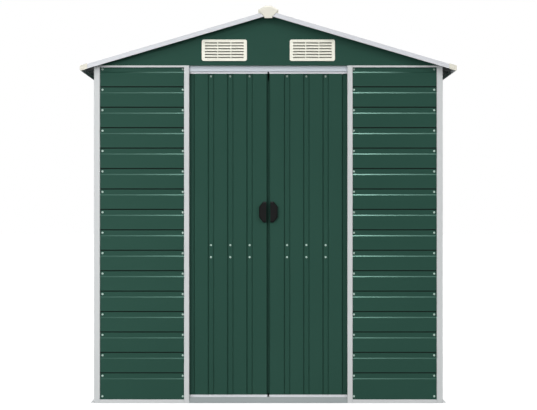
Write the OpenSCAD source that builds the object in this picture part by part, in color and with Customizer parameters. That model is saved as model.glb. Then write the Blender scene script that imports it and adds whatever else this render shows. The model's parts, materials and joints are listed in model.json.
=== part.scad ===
// Metal storage shed: a light steel frame clad in ribbed sheet, with a low gable roof,
// louvred gable vents and a pair of sliding doors that pass behind the front wall.
// Millimetres, +Z up. The front faces -Y. The origin is on the ground under the roof's middle.

/* [Body] */
// Width over the corner posts
body_w = 1760; // [1560:10:2400]
// Depth over the corner posts
body_d = 2056; // [1500:2:3600]
// Height of the foot of the gables
wall_h = 1704; // [1500:1:2200]
// Clear width of the doorway between the jambs
opening_w = 799; // [700:1:820]

/* [Sheet] */
// Thickness of the wall, door, gable and roof sheets
sheet_t = 0.8; // [0.5:0.1:1.5]
// Depth of the ribs in the wall sheets
rib_depth = 3.5; // [3:0.5:10]
// Depth of the ribs in the door and roof sheets
deep_rib = 9; // [5:0.5:14]
// Run of a sloping rib side
rib_side = 6; // [3:0.5:10]
// Clear width of the recess between two ribs on walls and roof
rib_recess = 24; // [14:1:40]
// Bend radius on the hollow side of a fold
fold_r = 2; // [1:0.1:3]
// Rib spacing aimed at on walls and roof
rib_aim = 103; // [80:1:140]
// Height of the lowest wall recess, over the flat foot of the sheets
rib_first = 137.5; // [125:0.1:160]
// Drop from the foot of the gables to the highest wall recess
rib_last_drop = 18.5; // [15:0.5:28]
// Sheet width aimed at on the side and back walls
panel_aim = 900; // [600:10:1100]
// Overlap of a sheet's edge behind a post, stud or jamb
panel_lap = 10; // [6:0.5:11]

/* [Frame] */
// Thickness of posts, rails, tracks and trims
frame_t = 1.5; // [1:0.1:2]
// Width of each face of a corner post
post_w = 30; // [28:0.5:40]
// Width of the face of a jamb or stud
jamb_w = 26; // [24:0.5:40]
// Bevel on the outer edges of posts, jambs and studs
post_bevel = 2; // [1:0.1:2.2]
// Depth of the sheets behind the face of the frame
panel_set = 6; // [4:0.5:10]
// Reach of a post's rear flange from its outer corner
post_reach = 55; // [48:1:70]
// Reach of a jamb's or stud's rear flange past its face
jamb_reach = 20; // [12:1:40]

/* [Rails] */
// Height of the lip along the foot of the walls
base_lip_h = 19; // [10:0.5:30]
// Height of the flanges behind the foot of the walls
base_back_h = 45; // [40:1:70]
// Width of the ground flange outside the side and back walls
ground_flange = 18; // [14:0.5:40]
// Height of the lip along the top of the walls
top_lip_h = 9; // [5:0.5:20]
// Height of the flange behind the top of the walls
top_back_h = 44; // [30:1:70]
// Diameter of the anchor holes in the ground flanges
anchor_d = 8; // [5:0.5:10]
// Spacing of the anchor holes along each side
anchor_span = 1500; // [900:10:1800]

/* [Doors] */
// Gap between the two doors when shut
door_gap = 9; // [6:0.5:14]
// Cover of a shut door behind its jamb
door_lap = 30; // [15:0.5:60]
// Clearance from a door to the sides of its tracks
door_clear = 5.7; // [5:0.1:10]
// Play of the nylon guides inside the tracks
guide_play = 1.5; // [0.5:0.1:3]
// Height of the nylon shoes over the track floor
shoe_gap = 0.3; // [0.2:0.05:0.8]
// Height of the nylon shoes
shoe_h = 12.2; // [8:0.1:20]
// Length of a nylon guide
guide_l = 40; // [20:1:60]
// Inset of a nylon guide from the end of its rail
guide_inset = 30; // [10:1:80]
// Height of the bottom rail of a door
door_foot_h = 25.7; // [24:0.1:50]
// Height of the front face of a door's top rail
door_head_h = 25; // [20:0.5:50]
// Height of the rear face of a door's top rail
door_head_back_h = 50; // [40:0.5:70]
// Gap from a door's top rail to the roof of its track
door_head_gap = 11; // [8:0.5:20]
// Height of the top nylon guides
head_guide_h = 10; // [6:0.5:12]
// Rib spacing on the doors
door_rib_pitch = 97.9; // [80:0.1:120]
// Clear width of a recess on the doors
door_recess = 21; // [8:1:24]
// Shift of the door recesses towards the meeting line
door_rib_shift = 3; // [0:0.5:6]
// Height of the middle of the door braces
brace_z = 765.5; // [500:0.5:1100]
// Height of a door brace
brace_h = 81; // [50:1:120]
// Depth of a door brace
brace_depth = 14; // [8:1:25]
// Inset of a door brace from the ends of the door
brace_inset = 30; // [28:1:60]
// Height of the face of the upper door track
head_track_h = 26.5; // [20:0.5:45]
// Height of the lower door track and of the top of the sill
floor_track_h = 29; // [22:0.5:40]
// Cover of the meeting strip past the shut edge of the other door
meeting_lap = 10; // [6:0.5:16]
// Clearance from the meeting strip to the other door
meeting_clear = 5; // [5:0.1:8]
// Width of the flat that holds the meeting strip to its door
meeting_flat = 6; // [4:0.5:8]
// Distance of the meeting strip's ends from the door's rails
meeting_end = 6; // [6:1:80]

/* [Handles] */
// Height of the middle of the handles
handle_z = 964.5; // [800:0.5:1200]
// Height of a handle
handle_h = 105; // [80:1:140]
// Width of a handle
handle_w = 37; // [30:0.5:50]
// Distance of a handle from the meeting line
handle_in = 10; // [10:0.5:20]
// Depth of a handle
handle_depth = 22; // [18:0.5:22]
// Width of the corner cut of a handle
handle_cut_w = 21; // [8:0.5:24]
// Height of the corner cut of a handle
handle_cut_h = 26; // [10:0.5:36]
// Bevel round the front of a handle
handle_bevel = 5; // [2:0.5:8]
// Wall of a handle
handle_wall = 3; // [2:0.1:4]

/* [Roof] */
// Fall of the roof for each unit of run
roof_slope = 0.294; // [0.20:0.002:0.45]
// Drop from the foot of the gables to the roof's underside over the outer face of the walls
seat_drop = 1.7; // [1:0.1:8]
// Overhang of the eaves past the posts
eave_over = 61; // [40:1:120]
// Overhang of the verges past the posts
verge_over = 45; // [35:1:120]
// Height of the face of the roof trims
trim_h = 22.5; // [18:0.5:40]
// Width of the flange of a roof trim over the sheet
trim_flange = 28; // [18:0.5:45]
// Height of the folded hem along a verge trim
hem_h = 8; // [4:0.5:10]
// Stand of the folded hem past the trim's face
hem_t = 1; // [0.5:0.1:2]
// Sealing film under the roof sheets and under what lies on them
seal_t = 0.2; // [0.1:0.05:0.4]
// Half gap between the two roof sheets under the ridge cap
ridge_gap = 4; // [2:0.5:10]
// Clearance from the lower end of a roof sheet to the eave trim
eave_gap = 0.5; // [0.3:0.1:3]
// Half width of the ridge beam
beam_half_w = 24; // [16:1:40]
// Height of the ridge beam's sides
beam_h = 34; // [20:1:60]
// Distance of the purlins from the ridge, level
purlin_x = 455; // [430:5:640]
// Width of a purlin
purlin_w = 40; // [25:1:60]
// Height of a purlin
purlin_h = 32; // [20:1:50]

/* [Ridge cap] */
// Half width of the raised part of the ridge cap
cap_half_w = 49; // [36:0.5:80]
// Half width of the flat top of the ridge cap
cap_top_half = 15; // [8:0.5:24]
// Height of the flat top over the meeting line of the roof's underside
cap_rise = 34.5; // [28:0.5:45]
// Height of the upright sides of the ridge cap over the sheet
cap_side_h = 18; // [8:0.5:20]
// Width of the ridge cap's flanges on the sheets
cap_flange = 26; // [12:1:50]
// Thickness of the moulded roof caps
mould_t = 2; // [1.5:0.1:3]
// Thickness of the face of a ridge end cap
end_face_t = 3; // [2:0.1:5]
// Reach of a ridge end cap back along the ridge
end_reach = 46; // [36:1:80]
// Half width of the foot of a ridge end cap
end_foot_half = 20; // [10:0.5:30]
// Height of the face of a ridge end cap
end_face_h = 62.5; // [50:0.5:66]
// Share of a ridge end cap's face inside its bevelled rim
end_inner = 0.86; // [0.7:0.01:0.95]
// Length of an eave corner cap along the trims
corner_cap_l = 37; // [30:1:60]
// Drop of an eave corner cap below the trims
corner_cap_drop = 1.5; // [0.5:0.1:5]

/* [Gables and vents] */
// Depth of the gable sheets behind the face of the frame
gable_set = 4; // [3:0.5:8]
// Width of the flange along the foot of a gable
gable_foot = 20; // [12:1:40]
// Distance of a vent from the middle of its gable
vent_x = 222; // [150:1:300]
// Height of the middle of the vents over the foot of the gables
vent_rise = 77; // [66:0.5:90]
// Width of a vent
vent_w = 228; // [160:1:260]
// Height of a vent
vent_h = 108; // [80:1:120]
// Corner radius of a vent
vent_r = 10; // [4:0.5:20]
// Stand of a vent's face past the gable sheet
vent_t = 4; // [3:0.5:8]
// Width of the plain border at the ends of a vent
vent_border = 15; // [12:0.5:24]
// Width of the plain border over and under the slots of a vent
vent_margin = 8.5; // [7:0.5:20]
// Rows of slots in a vent
vent_rows = 6; // [3:1:9]
// Columns of slots in a vent
vent_cols = 3; // [1:1:5]
// Width of the bars between the slots of a row
vent_bar = 4.5; // [3:0.5:12]
// Clear height of a slot
vent_slot_h = 6.5; // [3:0.5:7]
// Depth of the collar of a vent behind the gable sheet
vent_collar = 10; // [6:0.5:20]
// Wall of a vent's collar and louvres
vent_wall = 1.6; // [1.2:0.1:3]
// Clearance round the collar in the gable's hole
vent_clear = 1; // [0.5:0.1:3]

/* [Hidden] */

// Colours
green = [0.19, 0.32, 0.27];
white = [0.84, 0.85, 0.86];
cream = [0.92, 0.91, 0.85];
black = [0.14, 0.14, 0.14];
nylon = [0.88, 0.88, 0.86];

hw = body_w / 2;
hd = body_d / 2;
oh = opening_w / 2;
// Layers of a wall, measured inward from the face of the frame
flat_d = panel_set + sheet_t;
back_d = panel_set + rib_depth + sheet_t;
flange_d = back_d + frame_t;
rail_d = flange_d + frame_t;
door_d = rail_d + frame_t + door_clear;
door_face_d = door_d + frame_t;
door_back_d = door_face_d + deep_rib + sheet_t;
door_rear_d = door_back_d + frame_t;
track_in_d = door_rear_d + door_clear;
track_d = track_in_d + frame_t;
// Heights
post_top = wall_h - frame_t;
panel_top = wall_h - rib_last_drop + rib_recess / 2 - 2;
track_top = wall_h - 2 * frame_t;
foot_z = frame_t + shoe_gap + shoe_h;
foot_top = foot_z + door_foot_h;
head_top = track_top - door_head_gap;
door_foot = foot_z + frame_t;
door_head = head_top - frame_t;
door_out = oh + door_lap;
// Roof
roof_a = atan(roof_slope);
ridge_z = wall_h - seat_drop + roof_slope * hw;
sheet_v = seal_t + deep_rib + sheet_t;
seat_v = sheet_v + seal_t;
trim_v = seat_v + frame_t;
eave_x = hw + eave_over;
verge_y = hd + verge_over;
verge_in = verge_y - frame_t;
hem_y = verge_y + hem_t;
cap_top_z = ridge_z + cap_rise;
cap_side_z = zr(cap_half_w, seat_v) + cap_side_h;
gable_in = hd - gable_set - sheet_t;
gable_half = (ridge_z - wall_h) / roof_slope;
end_half = hw - rail_d;

// Height of the roof plane that lies v above the underside, at distance x from the ridge
function zr(x, v) = ridge_z - roof_slope * abs(x) + v / cos(roof_a);
// Shift of a bend line between the two faces of a folded sheet
function bend(side, depth) = sheet_t * (sqrt(side * side + depth * depth) - side) / depth;
// Facets of a fold, and the points that round the corner b of a path a, b, c to radius r
fold_n = 3;
function turn(a, b, c, r) = let (
    u = (a - b) / norm(a - b),
    v = (c - b) / norm(c - b),
    half = acos(u * v) / 2,
    m = b + (u + v) / norm(u + v) * r / sin(half),
    p = b + u * r / tan(half) - m,
    q = b + v * r / tan(half) - m,
    a0 = atan2(p[1], p[0]),
    sweep = (atan2(q[1], q[0]) - a0 + 540) % 360 - 180)
    [for (i = [0 : fold_n]) m + r * [cos(a0 + sweep * i / fold_n), sin(a0 + sweep * i / fold_n)]];
// A path with its corners rounded, each to its own radius, or left sharp at radius 0
function eased(path, radii) = [for (i = [0 : len(path) - 1])
    each radii[i] == 0 ? [path[i]] : turn(path[i - 1], path[i], path[i + 1], radii[i])];
// Recess lines spread evenly over a sheet that ends on raised flats
function spread(len, aim) = let (n = max(2, round(len / aim)))
    [for (i = [0 : n - 1]) (i + 0.5) * len / n - len / 2];
// Number of sheets along a wall, its studs, and the clear bays between its uprights
function bay_n(len) = max(1, round((len - 2 * post_w) / panel_aim));
function studs(len) = [for (i = [1 : 1 : bay_n(len) - 1]) len * (i / bay_n(len) - 0.5)];
function bays(len) = let (n = bay_n(len)) [for (i = [0 : n - 1]) [
    i == 0 ? post_w - len / 2 : len * (i / n - 0.5) + jamb_w / 2,
    i == n - 1 ? len / 2 - post_w : len * ((i + 1) / n - 0.5) - jamb_w / 2]];
front_bays = [[post_w - hw, -oh - jamb_w], [oh + jamb_w, hw - post_w]];

wall_n = max(4, round((wall_h - rib_last_drop - rib_first) / rib_aim));
wall_lines = [for (i = [0 : wall_n])
    rib_first + i * (wall_h - rib_last_drop - rib_first) / wall_n];
// The first line turns a door's meeting edge back; the others are its recesses
door_lines = concat([door_gap / 2 - 1 - door_recess / 2],
    [for (i = [1 : 1 : floor((door_out + door_rib_shift) / door_rib_pitch)])
        i * door_rib_pitch - door_rib_shift]);

// Placing

// A wall's own frame: x along the wall, y inward from the face of the frame
module on_front() translate([0, -hd, 0]) children();
module on_back() translate([0, hd, 0]) rotate([0, 0, 180]) children();
module on_right() translate([hw, 0, 0]) rotate([0, 0, 90]) children();
module on_left() translate([-hw, 0, 0]) rotate([0, 0, -90]) children();
// A roof slope's own frame: x down the slope from the ridge, z off the underside
module on_slope(side)
    mirror([side < 0 ? 1 : 0, 0, 0]) translate([0, 0, ridge_z]) rotate([0, roof_a, 0]) children();
module both_sides() { children(); mirror([1, 0, 0]) children(); }
module both_ends() { children(); mirror([0, 1, 0]) children(); }
// Flat shape in (inward, up) drawn out along a wall
module along(s0, s1) translate([s0, 0, 0]) rotate([90, 0, 90]) linear_extrude(s1 - s0) children();
// Flat shape in (across, up) drawn out from y0 to y1
module depthwise(y0, y1) translate([0, y1, 0]) rotate([90, 0, 0]) linear_extrude(y1 - y0) children();
module bar(x0, x1, y0, y1) translate([x0, y0]) square([x1 - x0, y1 - y0]);
module block(x0, x1, y0, y1, z0, z1) translate([x0, y0, z0]) cube([x1 - x0, y1 - y0, z1 - z0]);

// Ribbed sheet from p to q: raised face at y 0, recesses at the given lines
module ribbed(p, q, lines, recess, depth) {
    h = recess / 2;
    side = rib_side;
    e = bend(side, depth);
    lo = min(p, lines[0] - h - side - e) - 5;
    hi = max(q, lines[len(lines) - 1] + h + side + e) + 5;
    r = fold_r;
    rr = fold_r + sheet_t;
    front = concat([[lo, 0]], [for (c = lines) each [[c - h - side, 0], [c - h, depth],
        [c + h, depth], [c + h + side, 0]]], [[hi, 0]]);
    rear = concat([[hi, sheet_t]], [for (i = [len(lines) - 1 : -1 : 0]) let (c = lines[i]) each [
        [c + h + side + e, sheet_t], [c + h + e, depth + sheet_t],
        [c - h - e, depth + sheet_t], [c - h - side - e, sheet_t]]], [[lo, sheet_t]]);
    front_r = concat([0], [for (c = lines) each [rr, r, r, rr]], [0]);
    rear_r = concat([0], [for (c = lines) each [r, rr, rr, r]], [0]);
    intersection() {
        polygon(concat(eased(front, front_r), eased(rear, rear_r)));
        bar(p, q, -1, depth + sheet_t + 1);
    }
}

// Everything below the seat of the roof, to cut posts and studs to its fall
module under_roof(v = -frame_t) depthwise(-hd - 1, hd + 1) polygon([[-hw - 1, 0], [hw + 1, 0],
    [hw + 1, zr(hw + 1, v)], [0, zr(0, v)], [-hw - 1, zr(hw + 1, v)]]);

// Base

// Lip before the foot of each sheet, and the upstand behind it that takes its lowest screws
module base_lips(list) for (b = list) {
    block(b[0], b[1], 0, frame_t, 0, base_lip_h);
    block(b[0], b[1], flat_d, flat_d + frame_t, 0, base_back_h);
}

module base_rail_front() color(white) on_front() {
    block(-hw, hw, 0, rail_d, 0, frame_t);
    base_lips(front_bays);
    both_sides() block(oh, hw - rail_d, flange_d, rail_d, 0, base_back_h);
}

module base_rail_back() color(white) on_back() {
    block(-hw, hw, -ground_flange, rail_d, 0, frame_t);
    base_lips(bays(body_w));
    block(rail_d - hw, hw - rail_d, flange_d, rail_d, 0, base_back_h);
}

module side_base() {
    run = hd - rail_d;
    difference() {
        union() {
            block(-run, run, -ground_flange, rail_d, 0, frame_t);
            base_lips(bays(body_d));
            block(-run, run, flange_d, rail_d, 0, base_back_h);
        }
        for (s = [-1, 1]) translate([s * anchor_span / 2, -ground_flange / 2, -1])
            cylinder(d = anchor_d, h = frame_t + 2, $fn = 48);
    }
}
module base_rail_left() color(white) on_left() side_base();
module base_rail_right() color(white) on_right() side_base();

// Uprights

// Wedge that bevels the edge at x of a face along y 0, with the metal on the given side
module bevel_at(x, side) polygon([[x - side, -1], [x + side * post_bevel, -1],
    [x + side * post_bevel, 0], [x, post_bevel], [x - side, post_bevel]]);

module post_profile() difference() {
    union() {
        difference() {
            square(flange_d);
            translate([frame_t, frame_t]) square(flange_d - 2 * frame_t);
        }
        bar(0, post_w, 0, frame_t);
        bar(post_w - frame_t, post_w, 0, panel_set);
        bar(0, post_reach, back_d, flange_d);
        bar(0, frame_t, 0, post_w);
        bar(0, panel_set, post_w - frame_t, post_w);
        bar(back_d, flange_d, 0, post_reach);
    }
    bevel_at(0, 1);
    bevel_at(post_w, -1);
    mirror([1, -1]) bevel_at(post_w, -1);
}

module corner_post(sx, sy) intersection() {
    mirror([sx < 0 ? 1 : 0, 0, 0]) mirror([0, sy < 0 ? 1 : 0, 0])
        translate([hw, hd, frame_t]) rotate([0, 0, 180])
            linear_extrude(post_top - frame_t) post_profile();
    under_roof();
}
module corner_post_front_left() color(white) corner_post(-1, -1);
module corner_post_front_right() color(white) corner_post(1, -1);
module corner_post_back_left() color(white) corner_post(-1, 1);
module corner_post_back_right() color(white) corner_post(1, 1);

module jamb_profile() difference() {
    union() {
        bar(0, jamb_w, 0, frame_t);
        bar(0, frame_t, 0, flange_d);
        bar(0, jamb_w + jamb_reach, back_d, flange_d);
        bar(jamb_w - frame_t, jamb_w, 0, panel_set);
    }
    bevel_at(0, 1);
    bevel_at(jamb_w, -1);
}
module door_jamb_right() color(white) on_front() translate([oh, 0, frame_t])
    linear_extrude(post_top - frame_t) jamb_profile();
module door_jamb_left() color(white) mirror([1, 0, 0]) door_jamb_right();

module stud_profile() difference() {
    union() {
        bar(-jamb_w / 2, jamb_w / 2, 0, frame_t);
        both_sides() bar(jamb_w / 2 - frame_t, jamb_w / 2, 0, panel_set);
        bar(-frame_t / 2, frame_t / 2, 0, flange_d);
        bar(-jamb_w / 2 - jamb_reach, jamb_w / 2 + jamb_reach, back_d, flange_d);
    }
    both_sides() bevel_at(jamb_w / 2, -1);
}
module stud_set(len) for (s = studs(len)) translate([s, 0, frame_t])
    linear_extrude(post_top - frame_t) stud_profile();
module wall_studs() color(white) intersection() {
    union() {
        on_left() stud_set(body_d);
        on_right() stud_set(body_d);
        on_back() stud_set(body_w);
    }
    under_roof();
}

// Walls

module wall_sheets(list) for (b = list) along(b[0] - panel_lap, b[1] + panel_lap)
    translate([panel_set, 0]) mirror([1, -1]) ribbed(frame_t, panel_top, wall_lines, rib_recess, rib_depth);
module front_wall_left() color(green) on_front() wall_sheets([front_bays[0]]);
module front_wall_right() color(green) on_front() wall_sheets([front_bays[1]]);
module side_sheets() wall_sheets(bays(body_d));
module left_wall() color(green) on_left() side_sheets();
module right_wall() color(green) on_right() side_sheets();
module back_wall() color(green) on_back() wall_sheets(bays(body_w));

// Top rails

rail_half = min(end_half, (ridge_z - frame_t / cos(roof_a) - wall_h) / roof_slope);
module top_lips(list) for (b = list) block(b[0], b[1], 0, frame_t, wall_h - top_lip_h, wall_h);

module top_rail_front() color(white) on_front() {
    block(-rail_half, rail_half, flange_d, track_d, post_top, wall_h);
    both_sides() block(oh, rail_half, 0, flange_d, post_top, wall_h);
    top_lips(front_bays);
}

module top_rail_back() color(white) intersection() {
    on_back() {
        block(-rail_half, rail_half, 0, rail_d, post_top, wall_h);
        block(rail_d - hw, hw - rail_d, flange_d, rail_d, wall_h - top_back_h, wall_h);
        top_lips(bays(body_w));
    }
    under_roof();
}

// The side rails take the roof on a flange that follows its fall
module side_top() {
    lip_z = zr(hw, 0) - top_lip_h - 2 * frame_t;
    intersection() {
        union() {
            block(-hd, hd, 0, flange_d, 0, ridge_z);
            block(rail_d - hd, hd - rail_d, flange_d, rail_d, 0, ridge_z);
        }
        along(-hd, hd) polygon([[0, zr(hw, -frame_t)], [0, zr(hw, 0)],
            [rail_d, zr(hw - rail_d, 0)], [rail_d, wall_h - top_back_h],
            [flange_d, wall_h - top_back_h], [flange_d, zr(hw - flange_d, -frame_t)]]);
    }
    for (b = bays(body_d)) along(b[0], b[1]) polygon([[0, lip_z], [0, zr(hw, 0)],
        [frame_t, zr(hw - frame_t, 0)], [frame_t, lip_z]]);
}
module top_rail_left() color(white) on_left() side_top();
module top_rail_right() color(white) on_right() side_top();

// Door tracks and sill

track_half = hw - rail_d;

module door_head_track() color(white) on_front() along(-track_half, track_half) {
    bar(rail_d, track_d, track_top, post_top);
    bar(rail_d, rail_d + frame_t, post_top - head_track_h, post_top);
    bar(track_in_d, track_d, post_top - head_track_h, post_top);
}

module door_floor_track() color(white) on_front() along(-track_half, track_half) {
    bar(rail_d, track_d, 0, frame_t);
    bar(rail_d, rail_d + frame_t, 0, floor_track_h);
    bar(track_in_d, track_d, 0, floor_track_h);
}

module door_sill() color(white) on_front() along(-oh, oh) polygon([[0, frame_t], [0, 2 * frame_t],
    [rail_d, floor_track_h], [rail_d, floor_track_h - 2 * frame_t], [1.2 * frame_t, frame_t]]);

// Gables and vents

module gable_outline() intersection() {
    polygon([[-gable_half, wall_h], [gable_half, wall_h], [0, ridge_z]]);
    bar(-end_half, end_half, wall_h - 1, ridge_z + 1);
}

module gable_sheet() difference() {
    union() {
        depthwise(gable_set - hd, -gable_in) gable_outline();
        intersection() {
            block(-gable_half, gable_half, gable_set - hd, gable_set + gable_foot - hd,
                wall_h, wall_h + sheet_t);
            depthwise(-hd, hd) gable_outline();
        }
    }
    both_sides() translate([vent_x, gable_set - hd, wall_h + vent_rise])
        cube([vent_w - 2 * vent_border + 2 * vent_clear, 4 * sheet_t,
            vent_h - 2 * vent_margin + 2 * vent_clear], center = true);
}
module front_gable() color(green) gable_sheet();
module back_gable() color(green) mirror([0, 1, 0]) gable_sheet();

module rounded(w, h, r) {
    square([w - 2 * r, h], center = true);
    square([w, h - 2 * r], center = true);
    for (x = [-1, 1], y = [-1, 1]) translate([x * (w / 2 - r), y * (h / 2 - r)]) circle(r, $fn = 48);
}

// One vent in its own frame: x across, y inward from its face, z up from its middle
module vent() {
    in_w = vent_w - 2 * vent_border;
    in_h = vent_h - 2 * vent_margin;
    slot_w = (in_w - 2 * vent_wall - (vent_cols - 1) * vent_bar) / vent_cols;
    pitch = (in_h - 2 * vent_wall) / vent_rows;
    difference() {
        depthwise(0, vent_t) rounded(vent_w, vent_h, vent_r);
        for (c = [0 : vent_cols - 1], r = [0 : vent_rows - 1])
            translate([(c - (vent_cols - 1) / 2) * (slot_w + vent_bar), 0,
                (r - (vent_rows - 1) / 2) * pitch])
                cube([slot_w, 4 * vent_t, vent_slot_h], center = true);
    }
    difference() {
        block(-in_w / 2, in_w / 2, vent_t, vent_t + vent_collar, -in_h / 2, in_h / 2);
        block(vent_wall - in_w / 2, in_w / 2 - vent_wall, vent_t - 1, vent_t + vent_collar + 1,
            vent_wall - in_h / 2, in_h / 2 - vent_wall);
    }
    // Louvres: each falls from behind the top of a slot towards the outside
    for (r = [0 : vent_rows - 1]) translate([0, 0, (r - (vent_rows - 1) / 2) * pitch])
        along(vent_wall - in_w / 2, in_w / 2 - vent_wall) polygon([
            [vent_t, -vent_slot_h / 2], [vent_t, -vent_slot_h / 2 - vent_wall],
            [vent_t + vent_collar, vent_slot_h / 2], [vent_t + vent_collar, vent_slot_h / 2 + vent_wall]]);
}
module vent_pair() both_sides()
    translate([vent_x, gable_set - hd - vent_t, wall_h + vent_rise]) vent();
module front_vents() color(cream) vent_pair();
module back_vents() color(cream) mirror([0, 1, 0]) vent_pair();

// Roof frame

module ridge_beam() color(white) depthwise(-gable_in, gable_in) difference() {
    polygon([[-beam_half_w, zr(beam_half_w, 0)], [0, ridge_z], [beam_half_w, zr(beam_half_w, 0)],
        [beam_half_w, zr(beam_half_w, 0) - beam_h], [-beam_half_w, zr(beam_half_w, 0) - beam_h]]);
    polygon([[frame_t - beam_half_w, zr(beam_half_w - frame_t, -frame_t)], [0, zr(0, -frame_t)],
        [beam_half_w - frame_t, zr(beam_half_w - frame_t, -frame_t)],
        [beam_half_w - frame_t, 0], [frame_t - beam_half_w, 0]]);
}

module purlin(side) on_slope(side) translate([purlin_x / cos(roof_a) - purlin_w / 2, 0, -purlin_h])
    depthwise(-gable_in, gable_in) difference() {
        square([purlin_w, purlin_h]);
        translate([frame_t, frame_t]) square([purlin_w, purlin_h - 2 * frame_t]);
    }
module purlins() color(white) { purlin(-1); purlin(1); }

// Roof cover

roof_lines = spread(2 * verge_in, rib_aim);
slope_end = (eave_x - frame_t - eave_gap - sheet_v * sin(roof_a)) / cos(roof_a);

module roof_sheet(side) on_slope(side) along(ridge_gap, slope_end)
    translate([0, sheet_v]) mirror([0, 1]) ribbed(-verge_in, verge_in, roof_lines, rib_recess, deep_rib);
module roof_left() color(green) roof_sheet(-1);
module roof_right() color(green) roof_sheet(1);

module ridge_cap() color(green) depthwise(trim_flange - verge_y, verge_y - trim_flange) {
    foot = cap_half_w + cap_flange;
    outer = [[cap_half_w, zr(cap_half_w, trim_v)], [cap_half_w, cap_side_z], [cap_top_half, cap_top_z]];
    inner = [[cap_top_half, cap_top_z - frame_t],
        [cap_half_w - frame_t, cap_side_z - frame_t],
        [cap_half_w - frame_t, zr(cap_half_w - frame_t, seat_v)]];
    half = concat([[foot, zr(foot, seat_v)], [foot, zr(foot, trim_v)]], outer);
    flip = function (list) [for (i = [len(list) - 1 : -1 : 0]) [-list[i][0], list[i][1]]];
    polygon(concat(half, flip(half), flip(inner), inner));
}

module verge_trim(side) intersection() {
    on_slope(side) along(-trim_h, slope_end + 2 * trim_h) {
        bar(-verge_y, -verge_in, trim_v - trim_h, trim_v);
        bar(-verge_y, trim_flange - verge_y, seat_v, trim_v);
        bar(-hem_y, -verge_y, trim_v - trim_h, trim_v - trim_h + hem_h);
    }
    mirror([side < 0 ? 1 : 0, 0, 0])
        block(0.5, eave_x, -hem_y - 1, 0, zr(eave_x, 0) - 3 * trim_h, cap_top_z + trim_h);
}
module verge_trims() { verge_trim(-1); verge_trim(1); }
module roof_trim_front() color(white) verge_trims();
module roof_trim_back() color(white) mirror([0, 1, 0]) verge_trims();

eave_foot_z = zr(eave_x, trim_v - trim_h);
module eave_trim() depthwise(trim_flange - verge_y, verge_y - trim_flange) polygon([
    [eave_x - trim_flange, zr(eave_x - trim_flange, seat_v)],
    [eave_x - frame_t, zr(eave_x - frame_t, seat_v)], [eave_x - frame_t, eave_foot_z],
    [eave_x, eave_foot_z], [eave_x, zr(eave_x, trim_v)],
    [eave_x - trim_flange, zr(eave_x - trim_flange, trim_v)]]);
module eave_trims() color(white) both_sides() eave_trim();

// Moulded caps

module corner_cap() {
    x0 = eave_x + mould_t - corner_cap_l;
    x1 = eave_x + mould_t;
    top0 = zr(x0, trim_v) + mould_t;
    top1 = zr(x1, trim_v) + mould_t;
    low1 = eave_foot_z - corner_cap_drop;
    y1 = corner_cap_l + frame_t * 4 - hem_y;
    depthwise(-hem_y - mould_t, -hem_y) polygon([[x0, zr(x0, trim_v - trim_h) - corner_cap_drop],
        [x1 - 2 * mould_t, low1], [x1, low1 + 2 * mould_t], [x1, top1], [x0, top0]]);
    depthwise(-hem_y, y1) polygon([[x0, zr(x0, trim_v)], [eave_x, zr(eave_x, trim_v)],
        [eave_x, low1 + 2 * mould_t], [x1, low1 + 2 * mould_t], [x1, top1], [x0, top0]]);
}
module eave_corner_caps() color(cream) both_ends() both_sides() corner_cap();

// The end cap closes the ridge cap's end: a shield on the verge trims and a hood over the ridge
module ridge_end_cap() {
    tip_x = cap_half_w + mould_t;
    tip_z = cap_side_z;
    top_z = cap_top_z + mould_t;
    foot_z1 = top_z - end_face_h;
    rim = [[-cap_top_half, top_z], [cap_top_half, top_z], [tip_x, tip_z + mould_t],
        [tip_x, tip_z - mould_t], [end_foot_half + 2, foot_z1 + 9], [-end_foot_half - 2, foot_z1 + 9],
        [-tip_x, tip_z - mould_t], [-tip_x, tip_z + mould_t]];
    middle = [0, foot_z1 + 9];
    hull() {
        depthwise(-hem_y - end_face_t / 4, -hem_y) polygon(rim);
        depthwise(-hem_y - end_face_t, -hem_y) polygon([for (c = rim) middle + end_inner * (c - middle)]);
    }
    depthwise(-hem_y - end_face_t, -hem_y) polygon([[end_foot_half, foot_z1 + 12],
        [end_foot_half, foot_z1], [-end_foot_half, foot_z1], [-end_foot_half, foot_z1 + 12]]);
    depthwise(-hem_y, end_reach - hem_y) polygon([[-cap_top_half, top_z], [cap_top_half, top_z],
        [tip_x, tip_z + mould_t], [tip_x, tip_z - mould_t], [cap_half_w, tip_z - mould_t],
        [cap_half_w, tip_z], [cap_top_half, cap_top_z], [-cap_top_half, cap_top_z],
        [-cap_half_w, tip_z], [-cap_half_w, tip_z - mould_t], [-tip_x, tip_z - mould_t],
        [-tip_x, tip_z + mould_t]]);
}
module ridge_end_caps() color(cream) both_ends() ridge_end_cap();

// Right door; the left one is its mirror image without the meeting strip

module door_panel() on_front() translate([0, 0, door_foot]) linear_extrude(door_head - door_foot)
    translate([0, door_face_d]) ribbed(door_gap / 2, door_out, door_lines, door_recess, deep_rib);

module door_rails() on_front() {
    along(door_gap / 2, door_out) {
        bar(door_d, door_rear_d, foot_z, door_foot);
        bar(door_d, door_face_d, foot_z, foot_top);
        bar(door_back_d, door_rear_d, foot_z, foot_top);
    }
    along(door_gap / 2, door_out) {
        bar(door_d, door_rear_d, door_head, head_top);
        bar(door_d, door_face_d, head_top - door_head_h, head_top);
        bar(door_back_d, door_rear_d, head_top - door_head_back_h, head_top);
    }
    along(brace_inset, door_out - brace_inset) translate([door_back_d, brace_z - brace_h / 2]) difference() {
        square([brace_depth, brace_h]);
        translate([frame_t, frame_t]) square([brace_depth, brace_h - 2 * frame_t]);
    }
}

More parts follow.
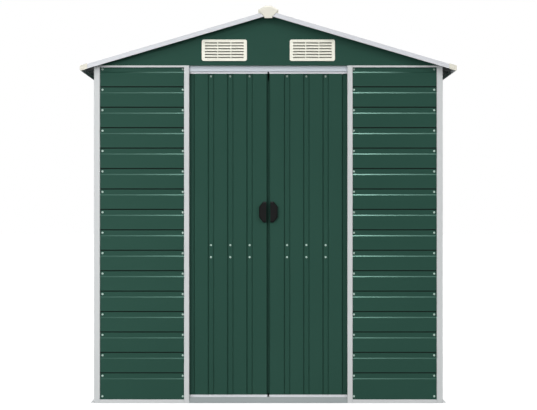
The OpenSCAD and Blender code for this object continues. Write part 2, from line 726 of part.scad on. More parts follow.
module door_guides() on_front() {
    a = rail_d + frame_t + guide_play;
    b = track_in_d - guide_play;
    for (s = [door_gap / 2 + guide_inset, door_out - guide_inset - guide_l]) {
        block(s, s + guide_l, a, b, frame_t + shoe_gap, foot_z);
        block(s, s + guide_l, a, b, head_top, head_top + head_guide_h);
    }
}

module handle_outline(inset) polygon([[0, inset - handle_h / 2],
    [handle_w - handle_cut_w, inset - handle_h / 2],
    [handle_w - inset, inset * 0.6 + handle_cut_h - handle_h / 2],
    [handle_w - inset, handle_h / 2 - handle_cut_h - inset * 0.6],
    [handle_w - handle_cut_w, handle_h / 2 - inset], [0, handle_h / 2 - inset]]);

// A moulded cup, open towards the meeting line for the fingers
module door_handle() on_front() translate([handle_in, door_face_d, handle_z]) difference() {
    hull() {
        depthwise(handle_bevel - handle_depth, 0) handle_outline(0);
        depthwise(-handle_depth, 0) handle_outline(handle_bevel);
    }
    translate([-1, 0, 0]) hull() {
        depthwise(handle_bevel + handle_wall - handle_depth, -handle_wall)
            handle_outline(handle_wall);
        depthwise(handle_wall - handle_depth, -handle_wall) handle_outline(handle_bevel + handle_wall);
    }
}

module right_door_panel() color(green) door_panel();
module right_door_rails() color(white) door_rails();
module right_door_guides() color(nylon) door_guides();
module right_door_handle() color(black) door_handle();
module left_door_panel() color(green) mirror([1, 0, 0]) door_panel();
module left_door_rails() color(white) mirror([1, 0, 0]) door_rails();
module left_door_guides() color(nylon) mirror([1, 0, 0]) door_guides();
module left_door_handle() color(black) mirror([1, 0, 0]) door_handle();

// Folded strip on the right door that closes the gap between the doors from behind
module door_meeting_strip() color(green) on_front()
    translate([0, 0, foot_top + meeting_end])
        linear_extrude(head_top - door_head_back_h - foot_top - 2 * meeting_end) {
            s = door_rear_d + meeting_clear;
            f0 = door_gap / 2;
            polygon([[f0 + meeting_flat, door_back_d], [f0, door_back_d], [f0, s],
                [-f0 - meeting_lap, s], [-f0 - meeting_lap, s + sheet_t], [f0 + sheet_t, s + sheet_t],
                [f0 + sheet_t, door_back_d + sheet_t], [f0 + meeting_flat, door_back_d + sheet_t]]);
        }

base_rail_front();
base_rail_back();
base_rail_left();
base_rail_right();
corner_post_front_left();
corner_post_front_right();
corner_post_back_left();
corner_post_back_right();
door_jamb_left();
door_jamb_right();
front_wall_left();
front_wall_right();
left_wall();
right_wall();
back_wall();
wall_studs();
top_rail_front();
top_rail_back();
top_rail_left();
top_rail_right();
door_head_track();
door_floor_track();
door_sill();
front_gable();
back_gable();
front_vents();
back_vents();
ridge_beam();
purlins();
roof_left();
roof_right();
ridge_cap();
roof_trim_front();
roof_trim_back();
eave_trims();
eave_corner_caps();
ridge_end_caps();
left_door_panel();
left_door_rails();
left_door_guides();
left_door_handle();
right_door_panel();
right_door_rails();
right_door_guides();
right_door_handle();
door_meeting_strip();
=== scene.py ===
# %% [markdown]
# # A metal storage shed
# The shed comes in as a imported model: ribbed sheets, posts, rails, trims and two sliding doors, each
# piece already at its real size and place. This lesson gives it its finish. It sets the camera and a
# plain studio, mixes the paints and plastics, and then makes the small things that a steel shed is
# held together with, such as its rows of screws.

# %% Load the shed
import json
import math
import bpy
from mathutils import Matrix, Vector


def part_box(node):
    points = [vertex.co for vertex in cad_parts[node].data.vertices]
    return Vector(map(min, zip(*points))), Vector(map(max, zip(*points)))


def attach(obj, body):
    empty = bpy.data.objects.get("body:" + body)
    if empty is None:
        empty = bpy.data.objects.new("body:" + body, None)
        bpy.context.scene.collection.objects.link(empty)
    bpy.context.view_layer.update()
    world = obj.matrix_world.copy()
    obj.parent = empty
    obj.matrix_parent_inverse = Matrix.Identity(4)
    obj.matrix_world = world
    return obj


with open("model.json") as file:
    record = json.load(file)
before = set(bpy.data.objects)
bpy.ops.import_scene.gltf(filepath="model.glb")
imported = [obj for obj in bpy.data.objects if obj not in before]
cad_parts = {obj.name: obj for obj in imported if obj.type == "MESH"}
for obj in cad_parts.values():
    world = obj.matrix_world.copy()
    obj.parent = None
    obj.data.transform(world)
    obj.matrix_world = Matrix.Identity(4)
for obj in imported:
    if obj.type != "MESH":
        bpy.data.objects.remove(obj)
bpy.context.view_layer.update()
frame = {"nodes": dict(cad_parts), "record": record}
nodes = frame["nodes"]

# %% [markdown]
# ## The camera
# The picture was taken straight on, with the lens about a metre above the ground and the far point of
# all level lines in the middle of the frame. The dark triangles under the eaves show how fast the roof
# shrinks with depth, and a long lens at five and a half metres fits them.

# %% Camera
CAMERA_X, CAMERA_Z, CAMERA_AWAY = 0.0008, 1.0002, 5.5
SENSOR_MM, LENS_MM = 36, 73.09
left_x, front_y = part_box("corner_post_front_left")[0].xy
half_w, half_d = -left_x, -front_y
bpy.ops.object.select_all(action="DESELECT")
bpy.ops.object.camera_add(location=(CAMERA_X, front_y - CAMERA_AWAY, CAMERA_Z),
                          rotation=(math.pi / 2, 0, 0))
camera = bpy.context.object
camera.name = "camera"
camera.data.sensor_width = SENSOR_MM
camera.data.lens = LENS_MM
bpy.context.scene.camera = camera
print("outer faces of the posts at", round(half_w, 4), "and", round(half_d, 4), "m from the middle")

# %% [markdown]
# ## A plain studio
# A white room could be built, but a pale floor and an even sky are enough. The sky lights the shed at a
# plain grey level and only looks white to the camera. The floor does the same outside the shed, and keeps
# the soft shadow around it.

# %% Studio
SKY_TINT, SKY_LEVEL, FLOOR_SIZE = (0.98, 0.99, 1.0, 1), 0.35, 60
FLOOR_BOUNCE, FLOOR_SHADE = (0.20, 0.20, 0.20, 1), (0.30, 0.30, 0.30, 1)
scene = bpy.context.scene
scene.view_settings.view_transform = "Standard"
world = bpy.data.worlds.new("studio")
scene.world = world
world.use_nodes = True
sky = world.node_tree
sky.nodes.clear()


def seen_directly(tree):
    """1 for camera, mirror and see-through rays, 0 for the rays that carry light."""
    path = tree.nodes.new("ShaderNodeLightPath")
    first = tree.nodes.new("ShaderNodeMath")
    first.operation = "MAXIMUM"
    second = tree.nodes.new("ShaderNodeMath")
    second.operation = "MAXIMUM"
    tree.links.new(path.outputs["Is Camera Ray"], first.inputs[0])
    tree.links.new(path.outputs["Is Glossy Ray"], first.inputs[1])
    tree.links.new(first.outputs[0], second.inputs[0])
    tree.links.new(path.outputs["Is Transmission Ray"], second.inputs[1])
    return second.outputs[0]


light_sky = sky.nodes.new("ShaderNodeBackground")
light_sky.inputs["Color"].default_value = SKY_TINT
light_sky.inputs["Strength"].default_value = SKY_LEVEL
white_sky = sky.nodes.new("ShaderNodeBackground")
white_sky.inputs["Color"].default_value = (1, 1, 1, 1)
white_sky.inputs["Strength"].default_value = 1.0
sky_mix = sky.nodes.new("ShaderNodeMixShader")
sky_out = sky.nodes.new("ShaderNodeOutputWorld")
sky.links.new(seen_directly(sky), sky_mix.inputs["Fac"])
sky.links.new(light_sky.outputs[0], sky_mix.inputs[1])
sky.links.new(white_sky.outputs[0], sky_mix.inputs[2])
sky.links.new(sky_mix.outputs[0], sky_out.inputs["Surface"])

bpy.ops.mesh.primitive_plane_add(size=FLOOR_SIZE, location=(0, 0, 0))
floor = bpy.context.object
floor.name = "studio_floor"
bpy.ops.object.mode_set(mode="EDIT")
bpy.ops.mesh.subdivide(number_cuts=3)
bpy.ops.object.mode_set(mode="OBJECT")
pale = bpy.data.materials.new("studio_pale")
pale.use_nodes = True
ground = pale.node_tree
ground.nodes.clear()
bounce = ground.nodes.new("ShaderNodeBsdfDiffuse")
bounce.inputs["Color"].default_value = FLOOR_BOUNCE
shade = ground.nodes.new("ShaderNodeBsdfDiffuse")
shade.inputs["Color"].default_value = FLOOR_SHADE
glow = ground.nodes.new("ShaderNodeEmission")
lit = ground.nodes.new("ShaderNodeAddShader")
floor_mix = ground.nodes.new("ShaderNodeMixShader")
floor_out = ground.nodes.new("ShaderNodeOutputMaterial")
ground.links.new(shade.outputs[0], lit.inputs[0])
ground.links.new(glow.outputs[0], lit.inputs[1])
ground.links.new(seen_directly(ground), floor_mix.inputs["Fac"])
ground.links.new(bounce.outputs[0], floor_mix.inputs[1])
ground.links.new(lit.outputs[0], floor_mix.inputs[2])
ground.links.new(floor_mix.outputs[0], floor_out.inputs["Surface"])
floor.data.materials.append(pale)
print("studio floor and sky ready")

# %% [markdown]
# The ground under a shed gets no daylight, so the floor only glows white outside the walls. A mask made
# from the floor's own coordinates finds the inside: the larger of the two distances, each measured in
# half widths of the shed, is below one there.

# %% Dark ground inside
DARK_TO, GLOW_FROM, GLOW_LEVEL = 0.985, 0.995, 0.90
floor_spot = ground.nodes.new("ShaderNodeTexCoord")
measured = ground.nodes.new("ShaderNodeVectorMath")
measured.operation = "DIVIDE"
measured.inputs[1].default_value = (half_w, half_d, 1)
sizes = ground.nodes.new("ShaderNodeVectorMath")
sizes.operation = "ABSOLUTE"
split = ground.nodes.new("ShaderNodeSeparateXYZ")
larger = ground.nodes.new("ShaderNodeMath")
larger.operation = "MAXIMUM"
outside = ground.nodes.new("ShaderNodeMapRange")
outside.inputs["From Min"].default_value = DARK_TO
outside.inputs["From Max"].default_value = GLOW_FROM
outside.inputs["To Max"].default_value = GLOW_LEVEL
ground.links.new(floor_spot.outputs["Object"], measured.inputs[0])
ground.links.new(measured.outputs[0], sizes.inputs[0])
ground.links.new(sizes.outputs[0], split.inputs[0])
ground.links.new(split.outputs["X"], larger.inputs[0])
ground.links.new(split.outputs["Y"], larger.inputs[1])
ground.links.new(larger.outputs[0], outside.inputs["Value"])
ground.links.new(outside.outputs["Result"], glow.inputs["Strength"])
print("the floor glows outside the walls only")

# %% [markdown]
# ## Lamps
# A lamp close to a wall lights its top more than its foot. Sun lamps have no such falloff, and a wide
# angle makes them as soft as a large studio lamp far away. Two stand low in front, so that the edge of the
# roof throws only a narrow shadow, and two stand at the sides towards the back. A panel at the left makes
# that side a little brighter, as in the picture. Another panel, high in front, is there for the glint
# along the folds of the sheets. It shows in reflections only, as a photographer's reflector does, so that
# the plain surfaces keep their level.

# %% Lamps
SUN_WIDTH, SUN_AWAY = math.radians(14), 12


def wide_lamp(name, azimuth, height, strength):
    """A far, soft lamp; azimuth in degrees from the front, to the right."""
    turn, rise = math.radians(azimuth), math.radians(height)
    source = Vector((math.sin(turn) * math.cos(rise), -math.cos(turn) * math.cos(rise), math.sin(rise)))
    bpy.ops.object.light_add(type="SUN", location=source * SUN_AWAY)
    lamp = bpy.context.object
    lamp.name = name
    lamp.data.energy = strength
    lamp.data.angle = SUN_WIDTH
    lamp.rotation_euler = (-source).to_track_quat("-Z", "Y").to_euler()
    return lamp


wide_lamp("front_left", azimuth=-38, height=20, strength=0.70)
wide_lamp("front_right", azimuth=38, height=20, strength=0.86)
for name, azimuth in (("back_left", -122), ("back_right", 122)):
    wide_lamp(name, azimuth, height=25, strength=1.60).visible_glossy = False


def panel_lamp(name, place, aim, size, strength):
    """A rectangular lamp at a place, turned to what it lights."""
    bpy.ops.object.light_add(type="AREA", location=place)
    lamp = bpy.context.object
    lamp.name = name
    lamp.data.shape = "RECTANGLE"
    lamp.data.size, lamp.data.size_y = size
    lamp.data.energy = strength
    lamp.rotation_euler = (Vector(aim) - Vector(place)).to_track_quat("-Z", "Y").to_euler()
    return lamp


key = panel_lamp("key_left", place=(-2.6, -6.8, 1.4), aim=(0, -1.0, 1.0), size=(2.5, 2.5), strength=140)
key.visible_glossy = False
glint = panel_lamp("glint_panel", place=(0.22, -4.50, 7.2), aim=(0.22, -1.0, 1.2), size=(1.0, 1.4),
                   strength=1450)
glint.visible_diffuse = False
print("lamps ready")

# %% [markdown]
# ## Paint on thin steel
# The green sheets and the white frame are steel that was painted before it was folded. Such paint is an
# even satin coat, but thin sheet is never quite flat: it has slow waves that show in its reflections,
# and the paint itself has a fine orange-peel skin. One recipe makes every paint here: a slow noise for the
# tone and the waves, and a fine noise for the skin. The folds of the sheets are modelled. Those of the
# frame are sharp, so a Bevel node rounds them, and a lighter edge colour paints a highlight on them.
# Faces that look down get a matt tone: a dark painted shade in the folds of the walls and doors, and the
# grey of a back coat below the roof, whose top coat is duller than that of the walls.

# %% Paint recipe
TONE_SCALE, DULL_SCALE, WAVE_SCALE, SKIN_SCALE = 1.7, 9.0, 3.1, 420.0
TONE_BAND, DULL_BAND, DULL_SPREAD, MATT = (0.35, 0.65), (0.3, 0.7), 0.015, 0.95
WAVE_STRENGTH, SKIN_STRENGTH = 0.35, 0.10
LOOKS_DOWN, LOOKS_UP, AT_FOLD = (-0.15, -0.45), (0.25, 0.50), (0.995, 0.86)


def node(tree, kind, **settings):
    """Adds a shader node with its settings."""
    made = tree.nodes.new(kind)
    for key, value in settings.items():
        setattr(made, key, value)
    return made


def noise(tree, spot, scale, detail):
    """A noise over the object's own coordinates."""
    made = node(tree, "ShaderNodeTexNoise")
    made.inputs["Scale"].default_value = scale
    made.inputs["Detail"].default_value = detail
    tree.links.new(spot, made.inputs["Vector"])
    return made.outputs["Fac"]


def span(tree, value, a0, a1, b0, b1):
    """Maps a value from a0 to a1 onto b0 to b1."""
    made = node(tree, "ShaderNodeMapRange")
    for key, number in (("From Min", a0), ("From Max", a1), ("To Min", b0), ("To Max", b1)):
        made.inputs[key].default_value = number
    tree.links.new(value, made.inputs["Value"])
    return made.outputs["Result"]


def tint(tree, factor, below, above):
    """Mixes two colours, each a socket or a plain triple."""
    made = node(tree, "ShaderNodeMix", data_type="RGBA")
    for socket, colour in ((made.inputs[6], below), (made.inputs[7], above)):
        if isinstance(colour, tuple):
            socket.default_value = (*colour, 1)
        else:
            tree.links.new(colour, socket)
    tree.links.new(factor, made.inputs[0])
    return made.outputs[2]


def bump(tree, height, strength, distance, normal):
    """Tilts a normal, or the plain one, by a pattern of heights."""
    made = node(tree, "ShaderNodeBump")
    made.inputs["Strength"].default_value = strength
    made.inputs["Distance"].default_value = distance
    tree.links.new(height, made.inputs["Height"])
    if normal is not None:
        tree.links.new(normal, made.inputs["Normal"])
    return made.outputs["Normal"]


def finish_coat(name, colour, dark, rough, gloss, skin, waves=0.0, edge_shading=None, fold=0.0,
                shine=(1, 1, 1), under=None, up_shade=None, top_shade=None):
    """A coat with slow tone changes, waves in the sheet and a fine skin. Where they are given, an edge
    colour paints a highlight on folds rounded by the fold radius, or a shade where it is darker; a colour
    for faces that look down paints shade there, except below the roof, where it is a back coat; one for
    faces that look up paints shade; and one for the top paints shade above a height, fading out down to a
    lower one."""
    material = bpy.data.materials.new(name)
    material.use_nodes = True
    tree = material.node_tree
    shader = tree.nodes["Principled BSDF"]
    spot = node(tree, "ShaderNodeTexCoord").outputs["Object"]
    flat = node(tree, "ShaderNodeNewGeometry").outputs["True Normal"]
    body = tint(tree, span(tree, noise(tree, spot, TONE_SCALE, 2.0), *TONE_BAND, 0.0, 1.0), dark, colour)
    normal = None
    # A painted highlight on rounded folds, or a painted shade where the edge colour is darker.
    if edge_shading is not None:
        rounded = node(tree, "ShaderNodeBevel", samples=4)
        rounded.inputs["Radius"].default_value = fold
        normal = rounded.outputs[0]
        along = node(tree, "ShaderNodeVectorMath", operation="DOT_PRODUCT")
        tree.links.new(normal, along.inputs[0])
        tree.links.new(flat, along.inputs[1])
        body = tint(tree, span(tree, along.outputs["Value"], *AT_FOLD, 0.0, 1.0), body, edge_shading)
    dull = span(tree, noise(tree, spot, DULL_SCALE, 2.0), *DULL_BAND, rough, rough + DULL_SPREAD)
    facing = node(tree, "ShaderNodeSeparateXYZ")
    tree.links.new(flat, facing.inputs[0])
    # Painted shade on faces that look down, except below the roof, where the colour is a back coat.
    if under is not None:
        body = tint(tree, span(tree, facing.outputs["Z"], *LOOKS_DOWN, 0.0, 1.0), body, under)
        matt = node(tree, "ShaderNodeMath", operation="MAXIMUM")
        tree.links.new(dull, matt.inputs[0])
        tree.links.new(span(tree, facing.outputs["Z"], *LOOKS_DOWN, 0.0, MATT), matt.inputs[1])
        dull = matt.outputs[0]
    # Painted shade on faces that look up.
    if up_shade is not None:
        body = tint(tree, span(tree, facing.outputs["Z"], *LOOKS_UP, 0.0, 1.0), body, up_shade)
    # Painted shade above a height, fading out downwards to a lower one.
    if top_shade is not None:
        low, high, tone = top_shade
        height = node(tree, "ShaderNodeSeparateXYZ")
        tree.links.new(spot, height.inputs[0])
        body = tint(tree, span(tree, height.outputs["Z"], low, high, 0.0, 1.0), body, tone)
    tree.links.new(body, shader.inputs["Base Color"])
    tree.links.new(dull, shader.inputs["Roughness"])
    for scale, strength, depth in ((WAVE_SCALE, WAVE_STRENGTH, waves), (SKIN_SCALE, SKIN_STRENGTH, skin)):
        if depth > 0:
            normal = bump(tree, noise(tree, spot, scale, 1.0), strength, depth, normal)
    if normal is not None:
        tree.links.new(normal, shader.inputs["Normal"])
    shader.inputs["Specular IOR Level"].default_value = gloss
    shader.inputs["Specular Tint"].default_value = (*shine, 1)
    return material


GREEN, DEEP_GREEN = (0.0215, 0.0655, 0.0480), (0.0200, 0.0615, 0.0450)
# The first is painted shade on the down-facing folds of the walls and doors; the second is the grey back
# coat below the roof.
FOLD_SHADE, ROOF_BACKER = (0.0085, 0.0130, 0.0112), (0.205, 0.208, 0.215)
GREEN_SHINE = (0.55, 1.0, 0.85)
green_paint = finish_coat("green_paint", GREEN, DEEP_GREEN, rough=0.277, gloss=0.15, skin=0.0,
                          waves=0.001, shine=GREEN_SHINE, under=FOLD_SHADE)
roof_paint = finish_coat("roof_paint", GREEN, DEEP_GREEN, rough=0.52, gloss=0.15, skin=0.0003,
                         waves=0.001, shine=GREEN_SHINE, under=ROOF_BACKER)
FRAME_COAT = {"skin": 0.0004, "waves": 0.002, "fold": 0.0006}
# The lighter edge colours of the frame paints are painted highlights on the rounded folds.
white_paint = finish_coat("white_paint", (0.630, 0.648, 0.652), (0.608, 0.626, 0.630),
                          rough=0.38, gloss=0.30, edge_shading=(0.700, 0.720, 0.715), **FRAME_COAT)
# A lighter copy of the white paint: painted light on the trims and the door rails.
trim_paint = finish_coat("trim_paint", (0.690, 0.705, 0.735), (0.660, 0.675, 0.705),
                         rough=0.38, gloss=0.30, edge_shading=(0.760, 0.775, 0.800), **FRAME_COAT)
# The head track's bluish tint is a painted reflection of the sky, and its top is darkened with painted
# shade below the gable.
head_paint = finish_coat("head_paint", (0.600, 0.650, 0.700), (0.580, 0.628, 0.677),
                         rough=0.38, gloss=0.30, edge_shading=(0.680, 0.720, 0.760),
                         top_shade=(1.684, 1.705, (0.270, 0.308, 0.345)), **FRAME_COAT)
# Darker grey: painted shade on the sill under the doors.
sill_paint = finish_coat("sill_paint", (0.248, 0.283, 0.285), (0.235, 0.270, 0.272),
                         rough=0.42, gloss=0.20, edge_shading=(0.330, 0.370, 0.370), **FRAME_COAT)
paints = (green_paint, roof_paint, white_paint, trim_paint, head_paint, sill_paint)
print("paints:", *(coat.name for coat in paints))

# %% [markdown]
# ## Moulded plastic
# The roof caps and the vents are cream mouldings, the handles are black ones and the door guides are
# plain nylon. Moulded plastic has a faint spark-eroded grain and no waves, so the same recipe serves
# with a coarser skin, duller gloss and rounder edges, with a painted highlight on the edges and a
# painted shade on those of the black handles. The slats of the vents are darker on top and below:
# painted shade.

# %% Plastics
cream_moulding = finish_coat("cream_moulding", (0.780, 0.757, 0.655), (0.755, 0.732, 0.630), rough=0.50,
                             gloss=0.30, skin=0.0008, edge_shading=(0.820, 0.800, 0.710), fold=0.0010)
# Both darker colours of the vents are painted shade on their slats, on top and below.
vent_moulding = finish_coat("vent_moulding", (0.940, 0.932, 0.810), (0.920, 0.912, 0.790), rough=0.50,
                            gloss=0.25, skin=0.0006, edge_shading=(0.960, 0.952, 0.850), fold=0.0008,
                            under=(0.160, 0.150, 0.105), up_shade=(0.520, 0.510, 0.430))
# The darker edge colour is painted shade on the handles' rounded edges.
black_moulding = finish_coat("black_moulding", (0.0092, 0.0094, 0.0093), (0.0080, 0.0082, 0.0082),
                             rough=0.46, gloss=0.05, skin=0.0008, edge_shading=(0.0045, 0.0055, 0.0050),
                             fold=0.0020)
nylon = finish_coat("nylon", (0.740, 0.740, 0.715), (0.690, 0.690, 0.665), rough=0.48, gloss=0.30,
                    skin=0.0006, edge_shading=(0.800, 0.800, 0.780), fold=0.0008)
print("plastics:", cream_moulding.name, vent_moulding.name, black_moulding.name, nylon.name)

# %% [markdown]
# ## Finish each imported piece
# The record names a finish for every piece. A few get a coat of their own: the duller roof, the trims and
# door rails, in a lighter white that is painted light, the head track, whose bluish tint is a painted
# reflection of the sky, the sill, whose darker grey is painted shade under the doors, and the vents.
# Painted shade darkens the top of the head track, below the gable.

# %% Dress the nodes
coats = {"green_sheet": green_paint, "white_frame": white_paint, "cream_moulding": cream_moulding,
         "black_handle": black_moulding, "nylon_guide": nylon}
own_coat = {"roof_left": roof_paint, "roof_right": roof_paint, "ridge_cap": roof_paint,
            "roof_trim_front": trim_paint, "roof_trim_back": trim_paint, "eave_trims": trim_paint,
            "left_door_rails": trim_paint, "right_door_rails": trim_paint,
            "door_head_track": head_paint, "door_sill": sill_paint,
            "front_vents": vent_moulding, "back_vents": vent_moulding}
for part in frame["record"]["subparts"]:
    piece = nodes[part["node"]]
    piece.data.materials.clear()
    piece.data.materials.append(own_coat.get(part["node"], coats[part["material_slot"]]))
print("dressed", len(nodes), "nodes")

# %% [markdown]
# ## Lips of the ridge's end caps
# Each moulded end cap turns down at its two outer corners and closes the ridge cap's open end down to the
# verge trim. A lip is a small block cut off along the slope of the roof, so that it stands on the trim.
# It is made once, and a mirror modifier sets it at both sides of both ends.

# %% End cap lips
SLOPE, RIDGE, CAP_TOP = 0.294, 1.961, 0.0117
fall = math.atan(SLOPE)
LIP_IN, LIP_OUT, LIP_TOP = 0.034, 0.0509, 1.9733
LIP_FRONT, LIP_BACK = -1.0738, -1.0705
LIP_GAP, LIP_SPARE, LIP_ROUND = 0.0001, 0.002, 0.0004
TRIM_TOP = RIDGE + (CAP_TOP + LIP_GAP) / math.cos(fall)
low = TRIM_TOP - SLOPE * LIP_OUT - LIP_SPARE
bpy.ops.object.select_all(action="DESELECT")
bpy.ops.mesh.primitive_cube_add(size=1, location=((LIP_IN + LIP_OUT) / 2, (LIP_FRONT + LIP_BACK) / 2,
                                                  (low + LIP_TOP) / 2),
                                scale=(LIP_OUT - LIP_IN, LIP_BACK - LIP_FRONT, LIP_TOP - low))
lips = bpy.context.object
lips.name = lips.data.name = "ridge_end_lips"
bpy.ops.object.transform_apply(location=True, rotation=True, scale=True)
bpy.ops.object.mode_set(mode="EDIT")
bpy.ops.mesh.select_all(action="SELECT")
bpy.ops.mesh.bisect(plane_co=(0, 0, TRIM_TOP), plane_no=(SLOPE, 0, 1), use_fill=True, clear_inner=True)
bpy.ops.object.mode_set(mode="OBJECT")
rounded = lips.modifiers.new("rounded", "BEVEL")
rounded.width, rounded.segments = LIP_ROUND, 2
bpy.ops.object.modifier_apply(modifier=rounded.name)
around = lips.modifiers.new("around", "MIRROR")
around.use_axis = (True, True, False)
around.use_mirror_merge = False
bpy.ops.object.modifier_apply(modifier=around.name)
lips.data.materials.append(cream_moulding)
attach(lips, "shed")
print("end cap lips have", len(lips.data.polygons), "faces")

# %% [markdown]
# ## One screw
# The sheets are held by self-tapping screws with a round flange and a low domed head, painted a pale
# green. They could be drawn as dots in the paint, but a real head throws a small shadow. One screw is
# modelled: a short cylinder is the flange, its outer face is inset and drawn out for the head, and then
# twice more, smaller each time, for the dome.

# %% Screw
FLANGE_R, FLANGE_H, SCREW_SIDES = 0.0054, 0.0012, 12
HEAD_STEPS = ((0.0016, 0.0020), (0.0008, 0.0007), (0.0013, 0.0003))
SHARP, UPWARD = math.radians(38), 0.9
bpy.ops.object.select_all(action="DESELECT")
bpy.ops.mesh.primitive_cylinder_add(vertices=SCREW_SIDES, radius=FLANGE_R, depth=FLANGE_H,
                                    end_fill_type="NGON", location=(0, 0, FLANGE_H / 2))
screw = bpy.context.object
screw.name = "screw_pattern"
bpy.ops.object.transform_apply(location=True, rotation=True, scale=True)
bpy.ops.object.mode_set(mode="EDIT")
bpy.ops.mesh.select_all(action="DESELECT")
bpy.ops.object.mode_set(mode="OBJECT")
for face in screw.data.polygons:
    face.select = face.normal.z > UPWARD
bpy.ops.object.mode_set(mode="EDIT")
bpy.ops.mesh.select_mode(type="FACE")
for inset, rise in HEAD_STEPS:
    bpy.ops.mesh.inset(thickness=inset, depth=0)
    bpy.ops.mesh.extrude_region_move(TRANSFORM_OT_translate={"value": (0, 0, rise)})
bpy.ops.object.mode_set(mode="OBJECT")
bpy.ops.object.shade_smooth_by_angle(angle=SHARP)
print("screw has", len(screw.data.polygons), "faces and stands", round(screw.dimensions.z * 1000, 1), "mm")

# %% [markdown]
# ## Rows of screws
# On each wall a screw sits in every recess, beside each upright that the sheet is fixed to, and one more
# goes through the flat foot into the base rail. Hundreds of separate objects would be hard to handle, so
# one screw is copied, turned to face out of its wall, and repeated up the wall by an array modifier. The
# rows of one wall are joined into one piece. The paint of the highest screws is darker: painted shade
# below the roof's edge.

# %% Wall screws
PITCH = 0.1032
FIRST_RECESS, FOOT_ROW, RECESSES = 0.1375, 0.0343, 16
AT_POST, AT_JAMB, AT_SIDE_POST, AT_STUD = 0.838, 0.432, 0.986, 0.021
SINK, FLAT_BACK, RECESS_BACK = 0.0001, 0.006, 0.0095
flat_set, recess_set = FLAT_BACK + SINK, RECESS_BACK + SINK
side_columns = (-AT_SIDE_POST, -AT_STUD, AT_STUD, AT_SIDE_POST)
back_columns = (-AT_POST, -AT_STUD, AT_STUD, AT_POST)
face_front, face_back = (math.pi / 2, 0, 0), (-math.pi / 2, 0, 0)
face_left, face_right = (0, -math.pi / 2, 0), (0, math.pi / 2, 0)

PALE_GREEN, DULL_GREEN = (0.450, 0.590, 0.530), (0.400, 0.540, 0.480)
SCREW_COAT = {"rough": 0.36, "gloss": 0.40, "skin": 0.0002}
# Screws above 1.65 m are darker, fading out down to 1.60 m: painted shade on the top screws of the walls
# and doors.
screw_paint = finish_coat("screw_paint", PALE_GREEN, DULL_GREEN, **SCREW_COAT,
                          top_shade=(1.60, 1.65, (0.225, 0.295, 0.265)))
screw.data.materials.append(screw_paint)


def screw_row(start, facing, count=1, step=(0, 0, 0)):
    """A row of screws from a first point, each a step from the one before."""
    bpy.ops.object.select_all(action="DESELECT")
    screw.select_set(True)
    bpy.context.view_layer.objects.active = screw
    bpy.ops.object.duplicate()
    row = bpy.context.object
    row.location = start
    row.rotation_euler = facing
    bpy.ops.object.transform_apply(location=True, rotation=True, scale=True)
    if count > 1:
        many = row.modifiers.new("repeat", "ARRAY")
        many.use_relative_offset = False
        many.use_constant_offset = True
        many.constant_offset_displace = step
        many.count = count
        bpy.ops.object.modifier_apply(modifier=many.name)
    return row


def joined(name, rows, body):
    """Joins rows of screws into one named piece that moves with a body."""
    bpy.ops.object.select_all(action="DESELECT")
    for row in rows:
        row.select_set(True)
    bpy.context.view_layer.objects.active = rows[0]
    bpy.ops.object.join()
    piece = bpy.context.object
    piece.name = piece.data.name = name
    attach(piece, body)
    print(name, "has", len(piece.data.polygons) // len(screw.data.polygons), "screws")


def wall_screws(name, facing, place, columns):
    """Rows of screws on one wall: place(along, set back, height) gives a point on it."""
    rows = []
    for along in columns:
        rows.append(screw_row(place(along, recess_set, FIRST_RECESS), facing, RECESSES, (0, 0, PITCH)))
        rows.append(screw_row(place(along, flat_set, FOOT_ROW), facing))
    joined(name, rows, "shed")


def on_front(along, back, up):
    return along, back - half_d, up


def on_back(along, back, up):
    return along, half_d - back, up


def on_left(along, back, up):
    return back - half_w, along, up


def on_right(along, back, up):
    return half_w - back, along, up


wall_screws("front_wall_left_screws", face_front, on_front, (-AT_POST, -AT_JAMB))
wall_screws("front_wall_right_screws", face_front, on_front, (AT_JAMB, AT_POST))
wall_screws("left_wall_screws", face_left, on_left, side_columns)
wall_screws("right_wall_screws", face_right, on_right, side_columns)
wall_screws("back_wall_screws", face_back, on_back, back_columns)

# %% [markdown]
# ## Door screws
# Each door has a row of screws under its top rail and two rows where the brace crosses behind the sheet.
# They sit in the three inner recesses and move with their door, so each door gets its own piece.

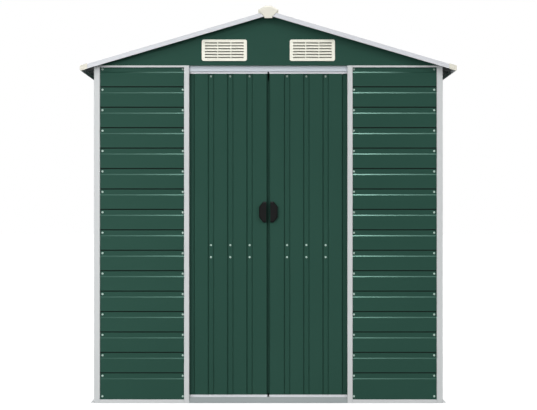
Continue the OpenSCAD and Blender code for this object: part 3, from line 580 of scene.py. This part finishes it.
# %% Door screws
DOOR_RECESS_SET = 0.0310 + SINK
RECESS_STEP, FIRST_DOOR_RECESS, DOOR_RECESSES = 0.0979, 0.0949, 3
BELOW_RAIL, BRACE_UPPER, BRACE_LOWER = 1.6525, 0.7965, 0.7355
for body, side in (("left_door", -1), ("right_door", 1)):
    level = [screw_row((side * FIRST_DOOR_RECESS, DOOR_RECESS_SET - half_d, height), face_front,
                       DOOR_RECESSES, (side * RECESS_STEP, 0, 0))
             for height in (BELOW_RAIL, BRACE_UPPER, BRACE_LOWER)]
    joined(body + "_screws", level, body)

# %% [markdown]
# ## Roof screws
# The roof sheets are screwed down through their valleys into the purlins and the side rails, and the
# ridge cap through its flanges. The same screw lies on the slope, turned by the slope's angle, in a paint
# without the painted shade of the highest wall screws.

# %% Roof screws
VALLEY_STEP, FIRST_VALLEY, VALLEYS, VALLEY_TOP = 0.10205, -1.0205, 21, 0.0010
AT_PURLIN, AT_SIDE_RAIL = 0.455, 0.868
AT_CAP_FLANGE, CAP_SCREWS = 0.064, 10
roof_screw_paint = finish_coat("roof_screw_paint", PALE_GREEN, DULL_GREEN, **SCREW_COAT)
screw.data.materials[0] = roof_screw_paint


def on_roof(side, out, off, y):
    """A point out from the ridge and off the slope that the roof sheets are drawn on, less the sink."""
    return side * out, y, RIDGE - SLOPE * out + (off - SINK) / math.cos(fall)


for side, word in ((-1, "left"), (1, "right")):
    facing = (0, side * fall, 0)
    down = [screw_row(on_roof(side, out, VALLEY_TOP, FIRST_VALLEY), facing,
                      VALLEYS, (0, VALLEY_STEP, 0)) for out in (AT_PURLIN, AT_SIDE_RAIL)]
    down.append(screw_row(on_roof(side, AT_CAP_FLANGE, CAP_TOP, FIRST_VALLEY + VALLEY_STEP / 2), facing,
                          CAP_SCREWS, (0, 2 * VALLEY_STEP, 0)))
    joined("roof_" + word + "_screws", down, "shed")

bpy.ops.object.select_all(action="DESELECT")
screw.select_set(True)
bpy.ops.object.delete()
print("the pattern screw is put away")
